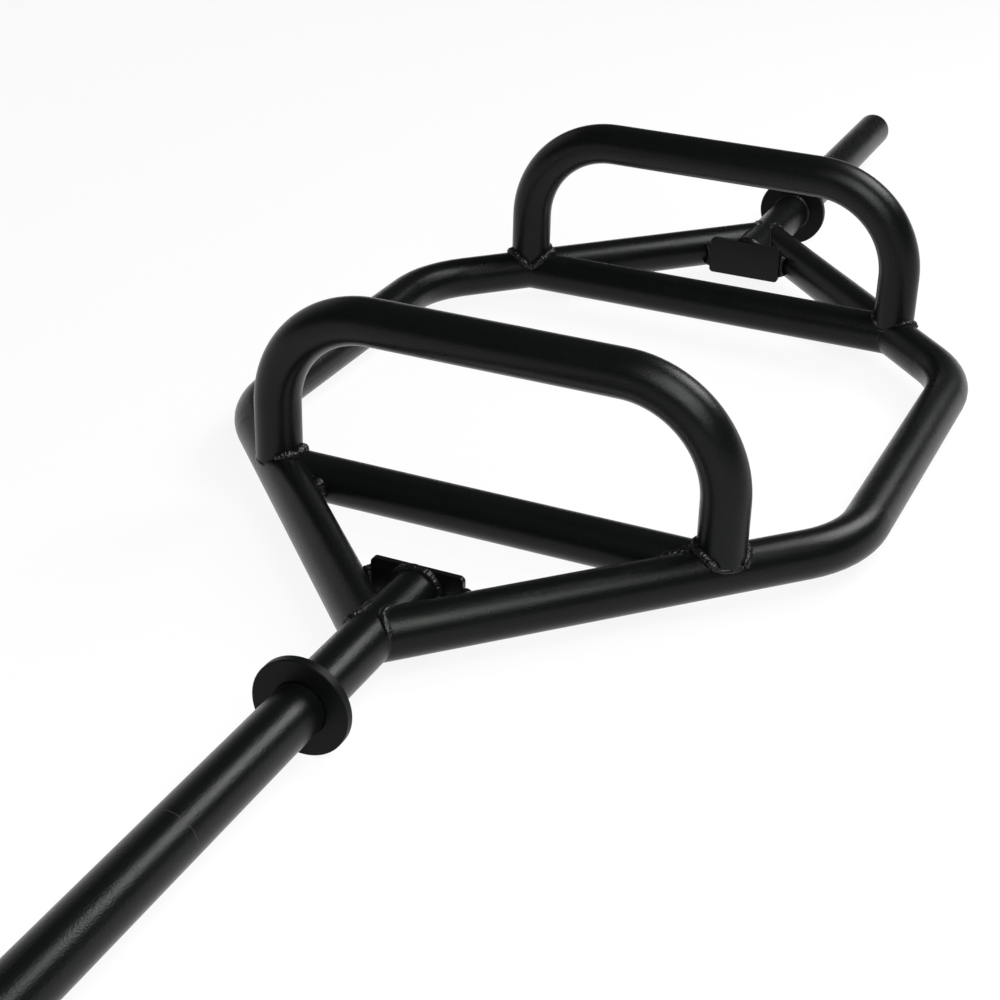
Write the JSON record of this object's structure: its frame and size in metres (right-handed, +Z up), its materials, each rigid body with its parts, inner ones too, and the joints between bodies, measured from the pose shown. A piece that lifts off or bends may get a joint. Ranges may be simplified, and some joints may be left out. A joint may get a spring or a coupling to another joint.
{
  "type": "hex trap bar",
  "caption": "Welded hexagonal trap bar of bent black pipe with raised arched handles over level grips, stop discs and long loading sleeves for weight plates.",
  "frame": {"origin": "under the middle of the bar, level with the lowest points of the two collars", "axes": "+X along the sleeves to the right, +Y to the rear of the hexagon, +Z up"},
  "size_m": [2.262, 0.7222, 0.2496],
  "materials": {
    "frame_coat": "satin black powder coat on steel pipe",
    "handle_coat": "satin black powder coat on steel pipe",
    "sleeve_coat": "satin black powder coat on steel tube",
    "weld_coat": "black powder coat over rippled weld beads, glossier than the tubes",
    "core_steel": "bare drawn steel tube, hidden inside"
  },
  "bodies": {
    "root": {"front_frame_tube": "frame_coat", "rear_frame_tube": "frame_coat", "left_shaft": "frame_coat", "left_end_plate": "frame_coat", "left_collar": "sleeve_coat", "left_sleeve_root": "sleeve_coat", "left_sleeve_tip": "sleeve_coat", "left_sleeve_cap": "sleeve_coat", "left_sleeve_core": "core_steel", "left_lower_grip": "handle_coat", "left_raised_handle": "handle_coat", "left_collar_weld": "weld_coat", "left_shaft_plate_weld": "weld_coat", "left_front_leg_weld": "weld_coat", "left_front_grip_weld": "weld_coat", "left_front_frame_weld": "weld_coat", "left_front_plate_weld": "weld_coat", "left_rear_leg_weld": "weld_coat", "left_rear_grip_weld": "weld_coat", "left_rear_frame_weld": "weld_coat", "left_rear_plate_weld": "weld_coat", "right_shaft": "frame_coat", "right_end_plate": "frame_coat", "right_collar": "sleeve_coat", "right_sleeve_root": "sleeve_coat", "right_sleeve_tip": "sleeve_coat", "right_sleeve_cap": "sleeve_coat", "right_sleeve_core": "core_steel", "right_lower_grip": "handle_coat", "right_raised_handle": "handle_coat", "right_collar_weld": "weld_coat", "right_shaft_plate_weld": "weld_coat", "right_front_leg_weld": "weld_coat", "right_front_grip_weld": "weld_coat", "right_front_frame_weld": "weld_coat", "right_front_plate_weld": "weld_coat", "right_rear_leg_weld": "weld_coat", "right_rear_grip_weld": "weld_coat", "right_rear_frame_weld": "weld_coat", "right_rear_plate_weld": "weld_coat"}
  },
  "joints": []
}
